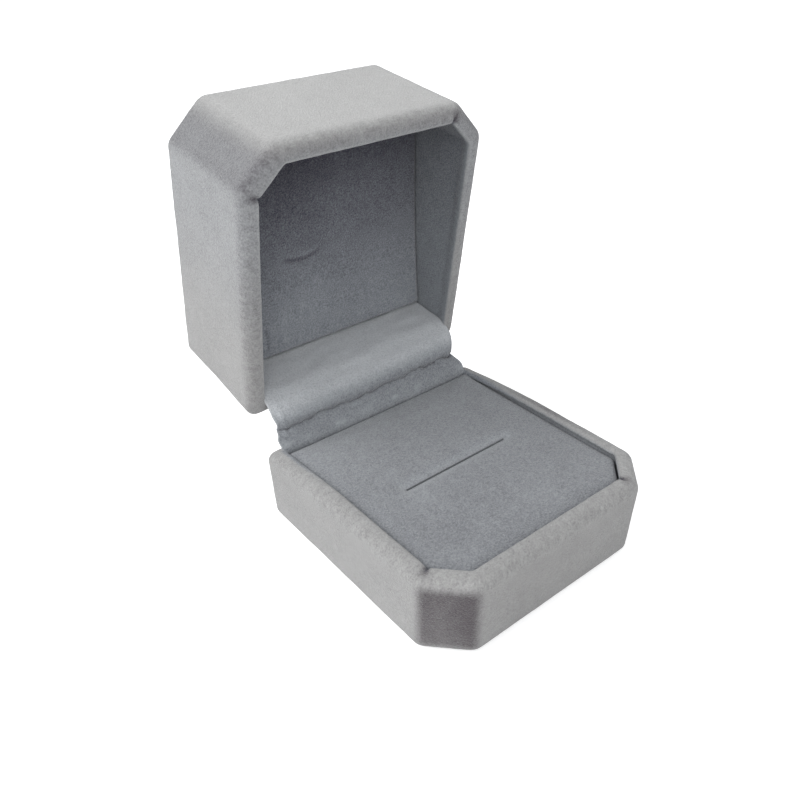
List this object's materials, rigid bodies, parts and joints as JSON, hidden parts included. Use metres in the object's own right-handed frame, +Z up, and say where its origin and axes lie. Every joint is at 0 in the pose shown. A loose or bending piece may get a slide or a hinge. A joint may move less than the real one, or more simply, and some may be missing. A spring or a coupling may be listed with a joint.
{
  "type": "ring box",
  "caption": "Small velvet-covered ring box with cut front corners, a sprung hinged lid standing open and a slit ring pad.",
  "frame": {"origin": "centre of the case's plan at the underside, on the surface the box stands on", "axes": "+Z up, -Y towards the front with the cut corners, hinge along X at the back"},
  "size_m": [0.056, 0.0867, 0.0814],
  "materials": {
    "velvet": "short cut pile, soft sheen",
    "moulded_shell": "moulded, matte",
    "foam": "open-cell foam",
    "card": "plain grey board",
    "under_card": "paper-faced board, matte",
    "hinge_steel": "zinc plated, satin"
  },
  "bodies": {
    "base": {"base_shell": "moulded_shell", "base_velvet": "velvet", "bottom_card": "under_card", "pad_board": "card", "ring_pad_foam": "foam", "ring_pad_velvet": "velvet", "hinge_base_leaf": "hinge_steel", "base_leaf_rivets": "hinge_steel", "hinge_snap_spring": "hinge_steel", "hinge_pin": "hinge_steel", "hinge_flap": "velvet"},
    "lid": {"lid_shell": "moulded_shell", "lid_velvet": "velvet", "ceiling_card": "card", "ceiling_foam": "foam", "ceiling_velvet": "velvet", "hinge_lid_leaf": "hinge_steel", "lid_leaf_rivets": "hinge_steel"}
  },
  "joints": [
    {"name": "lid_hinge", "type": "hinge", "parent": "base", "child": "lid", "pos_m": [0, 0.0322, 0.018], "axis": [1, 0, 0], "range_deg": [0, 81.6], "deforming": ["hinge_flap"]}
  ]
}
